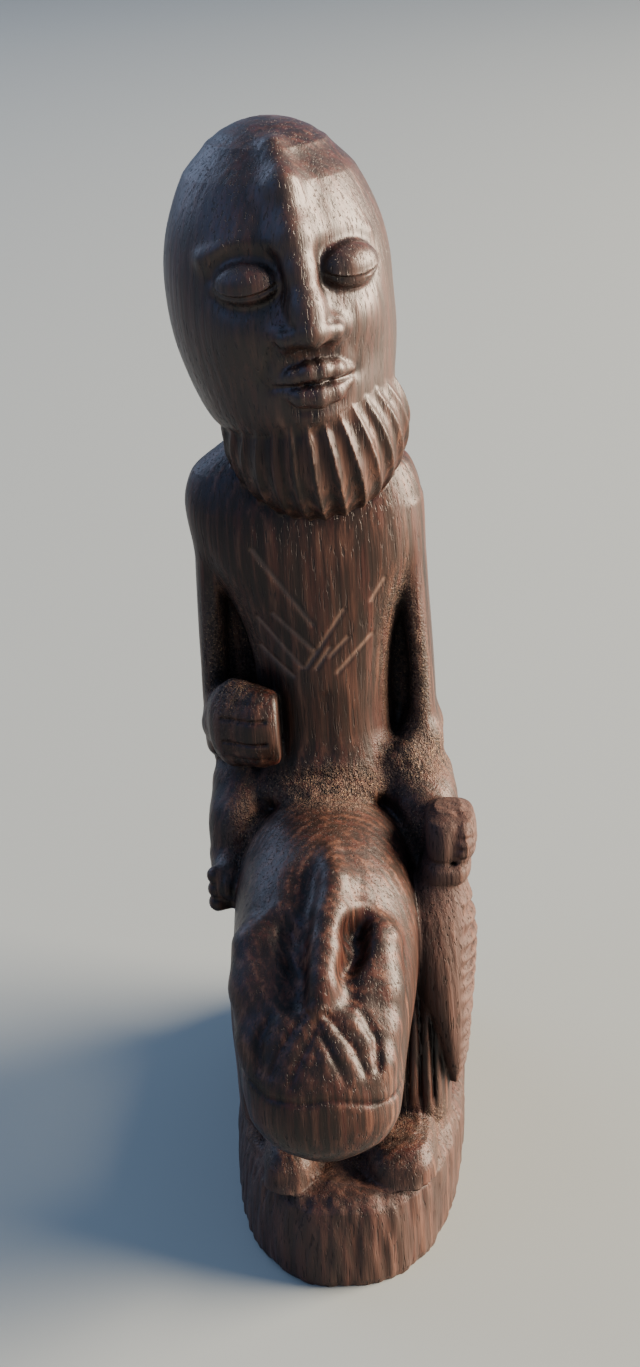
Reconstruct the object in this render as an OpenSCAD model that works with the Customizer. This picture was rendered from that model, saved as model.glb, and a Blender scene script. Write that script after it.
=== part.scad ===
// Carved wooden rider on a long-headed beast, standing on an oval base.
// +Z is up, the figure faces -Y, and the origin is the centre of the base's underside.
// Left and right are the rider's own, so the rider's left is at +X.

/* [Base] */
// Width of the oval base
base_w = 22.4; // [21:0.1:24]
// Length of the oval base, front to back
base_l = 51.2; // [49:0.1:54]
// Height of the base
base_h = 9.5; // [8:0.1:11]

/* [Beast] */
// Half of the body's width at the shoulders
shoulder_r = 9; // [8.6:0.1:9.6]
// Half of the neck's width
brow_r = 8.5; // [8:0.1:9]
// Radius of a brow bump
brow_bump_r = 2.2; // [2:0.1:2.4]
// Distance from the middle plane to the middle of a leg
leg_x = 6.8; // [6.4:0.1:7.2]
// Number of notches along the scalloped strap
notches = 11; // [7:1:14]

/* [Rider] */
// Height of the whole figure
figure_h = 100; // [98:0.5:103]
// Half of the head's width
head_r = 9.6; // [9:0.1:10.2]
// Radius of an eye
rider_eye_r = 2.4; // [2.1:0.1:2.8]
// Number of grooves round the beard
beard_grooves = 13; // [9:2:17]
// Depth of the beard's grooves
groove_depth = 0.55; // [0.3:0.05:0.8]

/* [Detail] */
// Points round a large form
round_n = 24; // [18:2:30]
// Points round a limb
limb_n = 16; // [12:2:20]

/* [Hidden] */

dark_wood = [0.17, 0.11, 0.09];
raw_wood = [0.24, 0.16, 0.12];
jaw_tilt = 7;                // degrees that the beard rises towards the rider's left
fine = 3;                    // rings drawn for each step between two stations
eye_n = 16;                  // points round an eye

// ---- Lofts ------------------------------------------------------------------------------
// A station is [x, y, z, pitch, half width, half depth, squareness]. The ring lies flat at pitch 0
// and stands upright, facing along Y, at pitch 90. Squareness 2 is an ellipse.
function spline(a, b, c, d, t) =
    0.5 * (2 * b + (c - a) * t + (2 * a - 5 * b + 4 * c - d) * t * t
           + (3 * b - a - 3 * c + d) * t * t * t);
function between(s, i, t) =
    spline(s[max(i - 1, 0)], s[i], s[i + 1], s[min(i + 2, len(s) - 1)], t);
function smooth(s, steps) =
    concat([for (i = [0 : len(s) - 2], k = [0 : steps - 1]) between(s, i, k / steps)],
           [s[len(s) - 1]]);
function bulge(v, squareness) = sign(v) * pow(abs(v), 2 / squareness);
function ring(s, n) = [for (k = [0 : n - 1])
    let (across = s[4] * bulge(cos(360 * k / n), s[6]), along = s[5] * bulge(sin(360 * k / n), s[6]))
    [s[0] + across, s[1] + along * cos(s[3]), s[2] + along * sin(s[3])]];
function wall(n) = [for (k = [0 : n - 1]) [k, (k + 1) % n, n + (k + 1) % n, n + k]];

// One convex slice between two rings.
module slice(a, b, n) {
    ends = [[for (k = [n - 1 : -1 : 0]) k], [for (k = [0 : n - 1]) n + k]];
    hull() polyhedron(points = concat(ring(a, n), ring(b, n)), faces = concat(ends, wall(n)));
}

// A smooth carved form through its stations.
module carve(stations, n = round_n, steps = fine) {
    rings = smooth(stations, steps);
    for (i = [0 : len(rings) - 2]) slice(rings[i], rings[i + 1], n);
}

// A limb: round bars through points [x, y, z, radius].
module limb(points, n = limb_n) {
    for (i = [0 : len(points) - 2]) hull() for (p = [points[i], points[i + 1]])
        translate([p[0], p[1], p[2]]) sphere(p[3], $fn = n);
}

module pebble(centre, radii, turn = [0, 0, 0], n = limb_n) {
    translate(centre) rotate(turn) scale(radii) sphere(1, $fn = n);
}

// ---- Base -------------------------------------------------------------------------------
// Its upper edge is worn round and stands a little further out on the rider's left.
module base_form() {
    w = base_w / 2;
    l = base_l / 2;
    carve([[0, 0, 0, 0, w - 0.3, l - 0.3, 2.5], [0, 0, 0.9, 0, w, l, 2.5],
           [0.3, 0, base_h / 2, 0, w, l - 0.2, 2.5], [0.6, 0, base_h - 1.8, 0, w - 0.3, l - 0.6, 2.5],
           [0.6, 0, base_h - 0.6, 0, w - 1, l - 1.6, 2.4], [0.6, 0, base_h, 0, w - 2.2, l - 3, 2.3]],
          n = 40, steps = 2);
}

module base() color(raw_wood) base_form();

// ---- Beast ------------------------------------------------------------------------------
module body_form() {
    r = shoulder_r;
    carve([[0, -17.2, 24, 90, 3.6, 4, 2.2], [0, -16, 24, 90, 6.4, 7, 2.3],
           [0, -12.5, 25, 90, r - 0.6, 9.6, 2.4], [0, -7.5, 27, 90, r, 10.6, 2.4],
           [0, -1, 27.6, 90, r - 0.5, 10.2, 2.3], [0, 7, 27.6, 90, r - 0.4, 9.6, 2.3],
           [0, 13.5, 27.2, 90, r + 0.3, 10, 2.3], [0, 18.5, 25.8, 90, r - 1.8, 7.8, 2.2],
           [0, 20.8, 25, 90, 3, 3.2, 2]]);
}

// The forelegs are short pillars in line with the sides of the base, each on a flat-topped hoof.
module foreleg_form(side) {
    x = side * (leg_x + 0.3 * side);
    out = 0.4 * side;
    low = base_h - 0.9;
    carve([[x - 4 * out, -10.8, 30, 0, 1.6, 2.6, 2.2], [x - 2 * out, -11, 28.4, 0, 2.6, 3.7, 2.3],
           [x - out, -11, 26, 0, 3.2, 4.2, 2.4], [x, -11.4, 22, 0, 3.3, 4.9, 2.6],
           [x, -11.7, 16, 0, 3.2, 5, 2.8],
           [x, -11.7, low + 3.4, 0, 3.2, 5, 2.8], [x, -11.7, low + 2.6, 0, 3.1, 4.8, 2.7],
           [x + out, -11.2, low + 1.8, 0, 2.6, 4, 2.4],
           [x + out, -11.4, low, 0, 2.7, 4.6, 2.4]], n = 20, steps = 2);
    across = side > 0 ? 5.6 : -4.6;
    wide = side > 0 ? 3.1 : 2.3;
    carve([[across, -17.4, low, 0, wide + 0.2, 5.9, 3.4], [across, -17.4, low + 2.2, 0, wide, 5.4, 3.4],
           [across, -17.2, low + 3.3, 0, wide - 0.5, 4.6, 3],
           [across, -17, low + 3.8, 0, wide - 1.4, 3.4, 2.4]],
          n = 20, steps = 2);
}
module foreleg(side) color(dark_wood) difference() {
    foreleg_form(side);
    body_form();
    head_form();
    base_form();
    for (k = [0 : 3]) translate([side * (leg_x - 1.9 + 1.25 * k), -16.9, 18.6]) rotate(45)
        cube([0.6, 0.6, 9], center = true);
}
module hind_leg_form(side) {
    x = side * leg_x;
    carve([[x - 1.6 * side, 12.8, 29.5, 0, 1.8, 3.2, 2.2], [x - 0.6 * side, 12.9, 27.8, 0, 2.9, 4.6, 2.3],
           [x, 13, 25, 0, 3.4, 5.2, 2.3], [x, 13.4, 21, 0, 3.3, 5, 2.3], [x, 14.6, 16.5, 0, 2.9, 3.8, 2.3],
           [x, 15.4, 13.5, 0, 2.6, 3.1, 2.3], [x, 14.6, 11.2, 0, 2.9, 3.8, 2.4],
           [x, 14.2, base_h - 0.6, 0, 3.1, 4.2, 2.4]], n = 20, steps = 2);
}
module hind_leg(side) color(dark_wood) difference() {
    hind_leg_form(side);
    body_form();
    base_form();
}
module right_foreleg() foreleg(-1);
module left_foreleg() foreleg(1);
module right_hind_leg() hind_leg(-1);
module left_hind_leg() hind_leg(1);

// The arched neck and the long, lowered head, turned slightly to the right.
module head_form() {
    r = brow_r;
    carve([[0, -3.6, 31, 80, 6.8, 7.8, 2.1], [-0.1, -7, 31, 90, r - 0.2, 9.9, 2.1],
           [-0.2, -11, 30.6, 96, r, 10.2, 2.1], [-0.3, -15.5, 29.4, 106, r - 0.2, 10, 2.15],
           [-0.6, -19.5, 27, 117, r - 0.5, 9.4, 2.2], [-0.7, -23, 24.2, 128, 7.4, 8.2, 2.3],
           [-0.7, -25.6, 21.6, 138, 6.9, 6.9, 2.4], [-0.6, -26.6, 19.7, 150, 6.4, 5.7, 2.4],
           [-0.5, -26.6, 18, 165, 5.2, 4.6, 2.3], [-0.5, -26.4, 16.9, 178, 3.3, 2.9, 2],
           [-0.5, -26.4, 16.6, 180, 1, 1, 2]]);
}
module beast_body() color(dark_wood) difference() {
    body_form();
    head_form();
}
module beast_head() color(dark_wood) difference() {
    head_form();
    // Mouth line.
    translate([-0.7, -31.8, 22.2]) rotate([28, 0, 0]) cube([10, 1.2, 0.5], center = true);
}

// A brow bump over each eye, drawn out down the cheek.
module brow_form(side) {
    r = brow_bump_r;
    if (side < 0) limb([[-5.9, -21, 33.6, r], [-6.1, -23.4, 31, r - 0.2], [-5.9, -26.2, 27.4, r - 0.6],
                        [-5.5, -27.8, 24.8, 1.1]], 14);
    else limb([[4.5, -21.1, 33.6, r - 0.1], [4.8, -23.6, 30.6, r - 0.5], [4.7, -25.6, 28.1, 1.4],
               [4.4, -27.6, 26, 1.15], [4.2, -28.9, 24.2, 0.7]], 14);
}
module beast_brow(side) color(dark_wood) difference() {
    brow_form(side);
    head_form();
}
module beast_right_brow() beast_brow(-1);
module beast_left_brow() beast_brow(1);

// A narrow crest from the top of the neck down to the nose.
module crest_form() {
    limb([[0.6, -15.6, 39.1, 1], [0.8, -18.45, 37.95, 1.55], [0.5, -21.2, 36.3, 1.75],
          [0.2, -23.5, 34.6, 1.75],
          [-0.1, -25.4, 32.75, 1.65], [-0.5, -26.8, 31.2, 1.35]], 12);
}
module crest() color(dark_wood) difference() {
    crest_form();
    head_form();
}

// Slanting leaves carved in low relief on both sides of the nose.
leaves = [[[-0.6, -27.2, 31, 0.5], [0.26, -28.05, 29.6, 0.85], [1.4, -29.05, 27.7, 0.9],
          [2.45, -29.95, 25.7, 0.6]],
          [[0.9, -26.9, 31.1, 0.6], [2.1, -27.5, 29.8, 0.85], [3.1, -28.1, 28.1, 0.85],
           [3.6, -28.8, 26.5, 0.5]],
          [[-0.55, -28.8, 29.1, 0.45], [0, -29.55, 27.5, 0.65], [0.8, -30.4, 25.8, 0.45]]];
module muzzle_ribs() color(dark_wood) difference() {
    for (side = [-1, 1], leaf = leaves)
        limb([for (p = leaf) [side * (p[0] + 0.65) - 0.65, p[1], p[2], p[3]]], 10);
    head_form();
    crest_form();
    brow_form(-1);
    brow_form(1);
}

module tail() color(dark_wood) difference() {
    limb([[0, 19, 33, 1.6], [0, 21.6, 30, 1.7], [0, 22.4, 25, 1.8], [0, 22.4, 20, 1.9],
          [0, 22, 15, 1.9], [0, 21.2, 11.4, 1.6], [0, 20.8, 10, 1.2]], 12);
    body_form();
    base_form();
}

// A strap that hangs from under the rider's left foot, notched along its outer edge.
strap_top = 33;
strap_bottom = 14.6;
module strap_form() {
    carve([[10, -11.4, 36, 0, 1.6, 1.4, 2.1], [9.8, -11.7, 34, 0, 2.7, 2.4, 2.1],
           [9.5, -11.9, 32, 0, 3.4, 3.5, 2.1],
           [9.5, -12.2, 29, 0, 3.6, 4.1, 2.1], [9.8, -12.6, 25, 0, 3, 4.2, 2.1],
           [10.4, -12.8, 20.5, 0, 1.9, 3.9, 2.1],
           [10.7, -12.8, 17, 0, 1.2, 3.2, 2.1],
           [10.7, -12.8, strap_bottom, 0, 0.6, 2, 2]], n = 16, steps = 2);
}
module scalloped_strap() color(dark_wood) difference() {
    strap_form();
    body_form();
    head_form();
    foreleg_form(1);
    foot_form(1);
    rider_leg_form(1);
    for (k = [1 : notches]) {
        z = strap_bottom + 1.2 + (strap_top - strap_bottom - 3) * k / notches;
        translate([13.4 - 0.05 * (strap_top - z), -12.4, z]) rotate([90, 45, 0]) cube([1, 1, 9], center = true);
    }
}

// ---- Rider ------------------------------------------------------------------------------
// A flat trunk with broad shoulders and a narrow waist, which widens again into the lap.
module torso_form() {
    carve([[-0.2, 0.4, 37.2, 0, 6.2, 5.8, 2.2], [-0.2, -0.4, 40, 0, 7.4, 7.2, 2.2],
           [-0.2, 0, 42.6, 0, 7, 6.6, 2.2], [0, 0.2, 46, 0, 6.2, 6, 2.3], [0.1, 0, 51, 0, 6.2, 5.9, 2.3],
           [0.1, 0, 55, 0, 6.9, 5.9, 2.3], [-0.1, 0, 59, 0, 8.3, 6, 2.3], [-0.5, 0.1, 63, 0, 10, 6, 2.4],
           [-0.8, 0.3, 67, 0, 10.5, 5.7, 2.4], [-0.8, 0.5, 70, 0, 9.6, 5, 2.3],
           [-0.6, 0.7, 72.2, 0, 7, 4.2, 2.1], [-0.2, 0.6, 74, 0, 4.6, 4, 2]]);
}
module rider_torso() color(dark_wood) difference() {
    torso_form();
    body_form();
    head_form();
    beard_form();
}

// Each arm is a thin upright bar. A web behind it closes the recess beside the waist.
module arm_form(side) {
    x = side < 0 ? -10 : 9;
    carve([[x - side * 1.1, 0.8, 66.5, 0, 1.6, 3.4, 2.3], [x - side * 0.6, 0.8, 62, 0, 1.5, 3.6, 2.5],
           [x - side * 0.3, 0.8, 57, 0, 1.35, 3.7, 2.6], [x, 0.7, 51, 0, 1.25, 3.5, 2.6],
           [x, 0.4, 46.4, 0, 1.3, 3.3, 2.5], [x, 0.2, 43.4, 0, 1.3, 3.1, 2.4],
           [x, 0.2, 42.2, 0, 0.7, 1.8, 2]],
          n = 16, steps = 2);
    carve([[x - side * 2, 1.6, 63, 0, 1.9, 1.6, 3], [x - side * 2, 1.6, 52, 0, 2, 1.5, 3],
           [x - side * 2, 1.6, 42.4, 0, 1.8, 1.6, 3]], n = 12, steps = 2);
}
module rider_right_arm() color(dark_wood) difference() {
    arm_form(-1);
    torso_form();
    right_hand_form();
    rider_leg_form(-1);
}
module rider_left_arm() color(dark_wood) difference() {
    arm_form(1);
    torso_form();
    left_hand_form();
    rider_leg_form(1);
}

// The right forearm comes forward and its hand lies on the belly, fingers to the left.
module right_hand_form() {
    limb([[-9.6, 0.4, 45.6, 1.7], [-9.3, -2.6, 46.4, 2], [-8.9, -3.4, 47, 2.1]], 14);
    difference() {
        translate([0, 0, 47.3]) scale([1, 1, 1.65])
            limb([[-8.9, -3, 0, 1.9], [-7.9, -4.9, 0, 2.4], [-5.8, -5.9, 0, 2.2], [-3.4, -6.2, 0, 2]], 16);
        translate([1.1, -6, 47]) cube([10, 12, 14], center = true);
    }
}
module rider_right_hand() color(dark_wood) difference() {
    right_hand_form();
    torso_form();
    rider_leg_form(-1);
    for (z = [46.5, 48.7]) translate([-6.8, -8.1, z]) rotate(-12) cube([4.4, 1.4, 0.35], center = true);
}

// The left hand rests on the hip, behind the thigh.
module left_hand_form() {
    limb([[9, 0, 44.6, 1.6], [8.7, -1.8, 43.6, 1.8], [7.6, -3.2, 42.8, 1.6], [6.6, -4, 42.6, 1.1]], 14);
}
module rider_left_hand() color(dark_wood) difference() {
    left_hand_form();
    torso_form();
    rider_leg_form(1);
    body_form();
}

module rider_leg_form(side) {
    if (side < 0) limb([[-5.4, 0.2, 40, 3], [-7.6, -2.2, 39.9, 3], [-8.2, -4.6, 37.6, 2.7],
                        [-9.2, -6.2, 34.8, 2]], 14);
    else {
        limb([[5.4, 0.2, 40, 3.4], [7.6, -2, 39.8, 3.6], [8.7, -4.6, 38.4, 2.9],
              [10, -7.6, 37.2, 2.1]], 14);
        limb([[9.4, -6.4, 36.8, 2.4], [9.1, -8.2, 33.6, 2.1], [9, -8.8, 30.6, 1.7]], 14);
    }
}
module rider_leg(side) color(dark_wood) difference() {
    rider_leg_form(side);
    torso_form();
    body_form();
    head_form();
    foot_form(side);
}
module rider_right_leg() rider_leg(-1);
module rider_left_leg() rider_leg(1);

// The right foot's toes point outward, one above the other. The left foot is two blocks, with toes notched in
// the outer edge of the upper one.
module foot_form(side) {
    if (side < 0) {
        pebble([-9.2, -7.6, 33.4], [1.9, 3.4, 2.3]);
        for (z = [34.4, 33, 31.6]) limb([[-9.2, -9.2, z, 0.9], [-10.4, -9.6, z - 0.1, 0.85]], 12);
    } else {
        carve([[11, -10, 40.9, 0, 1.2, 1.6, 2.4], [11.1, -10.2, 40.3, 0, 2.1, 2.8, 3],
               [11.2, -10.4, 38.6, 0, 2.3, 3.1, 3.4],
               [11.1, -10.4, 37.2, 0, 2.2, 3.1, 3.4],
               [11, -10.4, 36.5, 0, 1.9, 2.8, 3]], n = 16, steps = 2);
        carve([[10.7, -10.6, 36.6, 0, 1.8, 2.7, 3], [10.8, -10.7, 36, 0, 2.1, 3.1, 3.2],
               [10.6, -10.8, 35, 0, 2.1, 3, 3.2],
               [10.5, -10.8, 34.3, 0, 1.7, 2.5, 2.8]], n = 16, steps = 1);
    }
}
module rider_foot(side) color(dark_wood) difference() {
    foot_form(side);
    body_form();
    head_form();
    if (side > 0) for (k = [0 : 3]) translate([13.7, -13.4, 39.9 - 0.95 * k]) rotate([45, 0, 0])
        cube([2.4, 0.4, 0.4], center = true);
}
module rider_right_foot() rider_foot(-1);
module rider_left_foot() rider_foot(1);

// ---- Head -------------------------------------------------------------------------------
// A tall egg that leans to the rider's right.
module skull_form() {
    r = head_r;
    t = figure_h;
    carve([[-1.9, 0, t, 0, 1, 1.2, 2], [-1.9, 0, t - 0.4, 0, 2.9, 2.9, 2],
           [-1.9, -0.2, t - 1.8, 0, 5.3, 5.4, 2],
           [-1.8, -0.4, t - 4.2, 0, 7.3, 7.4, 2], [-1.7, -0.6, t - 7.6, 0, r - 0.9, 8.8, 2.05],
           [-1.6, -0.7, t - 11, 0, r - 0.1, 9.4, 2.05], [-1.5, -0.8, t - 14.5, 0, r, 9.5, 2.1],
           [-1.2, -0.9, t - 18, 0, r - 0.2, 9.3, 2.1], [-0.8, -1, t - 21.5, 0, r - 0.9, 8.7, 2.1],
           [-0.4, -1, t - 24.5, 0, r - 1.9, 7.9, 2.1], [0, -0.4, t - 27, 0, 5.6, 5.8, 2],
           [0, 0.2, t - 29.5, 0, 4.4, 4.2, 2]]);
}
module rider_head() color(dark_wood) difference() {
    skull_form();
    beard_form();
    torso_form();
}

// The face is laid out on plain proportions in a frame of its own, turned and leaned with the head:
// +X to the rider's left, -Y forward and +Z up from the middle of the head.
face_turn = 12;
face_lean = 5;
module face() {
    translate([-1, -0.7, figure_h - 12]) rotate([0, -face_lean, 0]) rotate([0, 0, face_turn]) children();
}

// The keel down the middle of the forehead ends in the nose.
module nose_form() {
    face() {
        limb([[0, -4.2, 10, 1], [0, -6.9, 7.4, 1.3], [0, -8.5, 3.8, 1.3], [0, -9.3, 1.2, 1.15],
              [0, -10.2, -1.8, 1.3],
              [0, -10.7, -3.5, 1.55]], 12);
        for (side = [-1, 1]) pebble([side * 1.6, -9.5, -3.9], [1.35, 1.6, 1.15], [0, 0, side * 20]);
    }
}
module rider_nose() color(dark_wood) difference() {
    nose_form();
    skull_form();
}

// The beard is a thick collar that runs from ear to ear under the chin.
module beard_place() {
    translate([0.9, -1.6, 73.6]) rotate([20, -jaw_tilt, 0]) children();
}
module beard_form() {
    beard_place() difference() {
        carve([[0, -1, -5, 0, 3.8, 4.2, 2], [0, -0.8, -4.4, 0, 5.8, 6.4, 2],
               [0, -0.4, -2.4, 0, 7.4, 7.9, 2],
               [0, 0, 0, 0, 8.2, 8.4, 2], [0, 0.2, 2.2, 0, 8.1, 8.1, 2], [0, 0.4, 3.8, 0, 7.6, 7.6, 2],
               [0, 0.4, 5.2, 0, 6.8, 6.8, 2], [0, 0.4, 6, 0, 6, 6, 2]]);
        translate([0, 11.6, 0]) cube([30, 20, 20], center = true);
    }
}
module beard() color(dark_wood) difference() {
    beard_form();
    beard_place() for (k = [1 : beard_grooves]) {
        turn = -180 + 180 * k / (beard_grooves + 1);
        rotate(turn) translate([8.7 - groove_depth, 0, -1]) rotate([0, 10, 0]) rotate(45)
            cube([0.9, 0.9, 12], center = true);
    }
}

// Closed eyes under full lids, level with the middle of the head.
module rider_eye(side) color(dark_wood) difference() {
    face() translate([side * 4.2, -7.7, 0.5]) rotate([0, 0, side * 24]) {
        pebble([0, 0, 0], [rider_eye_r + 0.3, 1.9, rider_eye_r - 0.5], n = eye_n);
        pebble([0, -0.9, 0], [rider_eye_r - 0.9, 1.5, rider_eye_r - 1.1], n = eye_n);
    }
    skull_form();
    nose_form();
}
module rider_right_eye() rider_eye(-1);
module rider_left_eye() rider_eye(1);

module lips_form() {
    face() {
        limb([[-3.5, -8, -7.7, 0.5], [-1.8, -9.1, -7.2, 0.9], [0, -9.4, -7.1, 1], [1.8, -9.1, -7.2, 0.9],
              [3.5, -8, -7.7, 0.5]], 12);
        limb([[-3, -8, -8.6, 0.5], [-1.4, -8.9, -9.1, 0.9], [0, -9.1, -9.2, 1], [1.4, -8.9, -9.1, 0.9],
              [3, -8, -8.6, 0.5]], 12);
    }
}
module rider_lips() color(dark_wood) difference() {
    lips_form();
    skull_form();
    beard_form();
}

base();
right_foreleg();
left_foreleg();
right_hind_leg();
left_hind_leg();
beast_body();
beast_head();
beast_right_brow();
beast_left_brow();
crest();
muzzle_ribs();
tail();
scalloped_strap();
rider_torso();
rider_right_arm();
rider_left_arm();
rider_right_hand();
rider_left_hand();
rider_right_leg();
rider_left_leg();
rider_right_foot();
rider_left_foot();
beard();
rider_head();
rider_right_eye();
rider_left_eye();
rider_nose();
rider_lips();
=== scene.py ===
# The looks of a carved wooden rider on a beast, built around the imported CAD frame.
#
# Each carved form is a distance field in millimetres, laid on nearly the same stations as its CAD node.
# The fields are blended into one carving, cut with grooves and tool marks, and then meshed one node at a
# time, so that neighbours share a continuous surface, as in a figure cut from one block.
import math

import bpy
import numpy as np
from mathutils import Matrix


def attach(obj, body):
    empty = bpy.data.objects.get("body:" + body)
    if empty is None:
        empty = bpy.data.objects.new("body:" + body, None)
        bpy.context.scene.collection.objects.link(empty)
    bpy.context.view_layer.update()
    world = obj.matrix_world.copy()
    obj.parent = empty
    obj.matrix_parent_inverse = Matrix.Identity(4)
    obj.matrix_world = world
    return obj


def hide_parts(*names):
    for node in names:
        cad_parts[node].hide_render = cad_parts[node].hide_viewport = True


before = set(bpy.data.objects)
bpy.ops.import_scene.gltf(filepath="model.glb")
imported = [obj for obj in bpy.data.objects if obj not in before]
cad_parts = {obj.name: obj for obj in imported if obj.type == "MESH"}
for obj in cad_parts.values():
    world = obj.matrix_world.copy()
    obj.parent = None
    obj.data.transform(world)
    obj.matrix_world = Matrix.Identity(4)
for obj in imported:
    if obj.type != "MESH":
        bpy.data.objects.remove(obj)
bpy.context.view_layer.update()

MM = 0.001
# In mm: how far from a form its distance is still worked out, how far a piece runs on beneath its
# neighbour, the room round a form's box, and the mesh spacings.
FAR = 3.0
UNDERLAP = 0.5
MARGIN = 1.2
COARSE, MEDIUM, FINE = ((0.30, 0.25, 0.19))


# ---- Camera, at the photograph's viewing angle --------------------------------------------
def add_camera():
    turn, pitch, roll = math.radians(4), math.radians(24), math.radians(3.8)
    distance, height, sideways = 0.169, 0.124, -0.0004
    right = np.array([math.cos(turn), math.sin(turn), 0])
    ahead = np.array([-math.sin(turn), math.cos(turn), 0])
    look = ahead * math.cos(pitch) - np.array([0, 0, math.sin(pitch)])
    up = ahead * math.sin(pitch) + np.array([0, 0, math.cos(pitch)])
    image_right = math.cos(roll) * right - math.sin(roll) * up
    image_up = math.sin(roll) * right + math.cos(roll) * up
    data = bpy.data.cameras.new("camera")
    data.sensor_fit, data.sensor_width, data.sensor_height = "AUTO", 36, 24
    data.lens = 52.67
    data.clip_start, data.clip_end = 0.01, 20
    camera = bpy.data.objects.new("camera", data)
    place = Matrix([[image_right[k], image_up[k], -look[k], 0] for k in range(3)] + [[0, 0, 0, 1]])
    place.translation = (distance * math.sin(turn) + sideways, -distance * math.cos(turn), height)
    camera.matrix_world = place
    bpy.context.collection.objects.link(camera)
    bpy.context.scene.camera = camera


# ---- Distance fields ------------------------------------------------------------------------
def length(v):
    return np.sqrt(np.einsum("ij,ij->i", v, v))


def smooth_min(a, b, k):
    h = np.clip(0.5 + 0.5 * (b - a) / k, 0, 1)
    return b + (a - b) * h - k * h * (1 - h)


class Form:
    """A field with the box that holds it."""

    def __init__(self, field, lo, hi):
        self.field, self.lo, self.hi = field, np.array(lo, float), np.array(hi, float)

    def __call__(self, p):
        out = np.full(len(p), FAR)
        near = np.all((p > self.lo - FAR) & (p < self.hi + FAR), axis=1)
        if near.any():
            out[near] = np.minimum(self.field(p[near]), FAR)
        return out


def loft(stations):
    """A form through rings [x, y, z, pitch, half width, half depth, squareness], as in the CAD."""
    s = np.array(stations, float)
    count = len(s)
    t = np.linspace(0, count - 1, (count - 1) * 8 + 1)
    i = np.minimum(t.astype(int), count - 2)
    f = (t - i)[:, None]
    a, b, c, d = s[np.maximum(i - 1, 0)], s[i], s[i + 1], s[np.minimum(i + 2, count - 1)]
    table = 0.5 * (2 * b + (c - a) * f + (2 * a - 5 * b + 4 * c - d) * f**2 + (3 * b - a - 3 * c + d) * f**3)
    pitch = np.radians(s[:, 3])
    normal = np.stack([0 * pitch, -np.sin(pitch), np.cos(pitch)], 1)
    normal *= np.sign(np.sum((s[-1, :3] - s[0, :3]) * normal[0]))

    def field(p):
        ahead = p @ normal.T - np.sum(s[:, :3] * normal, 1)
        k = np.clip((ahead >= 0).sum(1) - 1, 0, count - 2)
        row = np.arange(len(p))
        d0, d1 = ahead[row, k], ahead[row, k + 1]
        at = k + np.clip(d0 / np.maximum(d0 - d1, 1e-6), 0, 1)
        x, y, z, tilt, wide, deep, square = (np.interp(at, t, table[:, c]) for c in range(7))
        tilt = np.radians(tilt)
        u = np.maximum(np.abs(p[:, 0] - x) / wide, 1e-3)
        v = np.maximum(np.abs((p[:, 1] - y) * np.cos(tilt) + (p[:, 2] - z) * np.sin(tilt)) / deep, 1e-3)
        un, vn = u**square, v**square
        r = (un + vn) ** (1 / square)
        slope = r / (un + vn) * np.sqrt((un / (u * wide)) ** 2 + (vn / (v * deep)) ** 2)
        side = (r - 1) / slope
        cap = np.maximum(-ahead[:, 0], ahead[:, -1])
        return np.where((cap > 0) & (side > 0), np.hypot(cap, side), np.maximum(cap, side))

    reach = np.max(s[:, 4:6], axis=1)[:, None]
    return Form(field, (s[:, :3] - reach).min(0), (s[:, :3] + reach).max(0))


def limb(points, blend=0.6, tall=1.0):
    """Round bars through points [x, y, z, radius], stretched upward about their middle."""
    q = np.array(points, float)
    middle = q[:, 2].mean()
    squash = np.array([1, 1, 1 / tall])
    q[:, 2] = middle + (q[:, 2] - middle) / tall

    def field(p):
        p = (p - [0, 0, middle]) * squash + [0, 0, middle]
        out = None
        for a, b in zip(q[:-1], q[1:]):
            along = b[:3] - a[:3]
            h = np.clip((p - a[:3]) @ along / (along @ along), 0, 1)
            d = length(p - a[:3] - h[:, None] * along) - a[3] - h * (b[3] - a[3])
            out = d if out is None else smooth_min(out, d, blend)
        return out

    reach = q[:, 3:] * [1, 1, tall]
    centre = (q[:, :3] - [0, 0, middle]) * [1, 1, tall] + [0, 0, middle]
    return Form(field, (centre - reach).min(0), (centre + reach).max(0))


def pebble(centre, radii, turn=None):
    c, r = np.array(centre, float), np.array(radii, float)

    def field(p):
        q = p - c if turn is None else (p - c) @ turn
        k0, k1 = length(q / r), length(q / r**2)
        return k0 * (k0 - 1) / np.maximum(k1, 1e-6)

    return Form(field, c - r.max(), c + r.max())


def joined(blend, *forms):
    def field(p):
        out = forms[0](p)
        for form in forms[1:]:
            out = smooth_min(out, form(p), blend)
        return out

    return Form(field, np.min([f.lo for f in forms], 0), np.max([f.hi for f in forms], 0))


def rotation(x=0, y=0, z=0):
    """A turn about X, then Y, then Z, in degrees. Its columns are the turned axes."""
    return np.array(Matrix.Rotation(math.radians(z), 3, "Z") @ Matrix.Rotation(math.radians(y), 3, "Y")
                    @ Matrix.Rotation(math.radians(x), 3, "X"))


class Place:
    """A turned frame of its own for a group of forms."""

    def __init__(self, origin, turn):
        self.origin, self.turn = np.array(origin, float), turn

    def out(self, q):
        return self.turn @ np.array(q, float) + self.origin

    def into(self, p):
        return (p - self.origin) @ self.turn

    def limb(self, points, blend=0.6):
        return limb([[*self.out(q[:3]), q[3]] for q in points], blend)

    def pebble(self, centre, radii, turn=None):
        return pebble(self.out(centre), radii, self.turn if turn is None else self.turn @ turn)


FACE = Place([-1, -0.7, 88], rotation(y=-5) @ rotation(z=12))
BEARD = Place([0.9, -1.6, 73.6], rotation(x=20, y=-7))
EYE_X, EYE_Y, EYE_Z, EYE_TURN = 4.2, -7.7, 0.5, 24        # the left eye, in the face's frame
NOSE_X = -0.65                                            # the middle of the beast's nose


def beside_nose(side, x):
    """X, or its mirror image across the beast's nose."""
    return NOSE_X + side * (x - NOSE_X)


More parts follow.
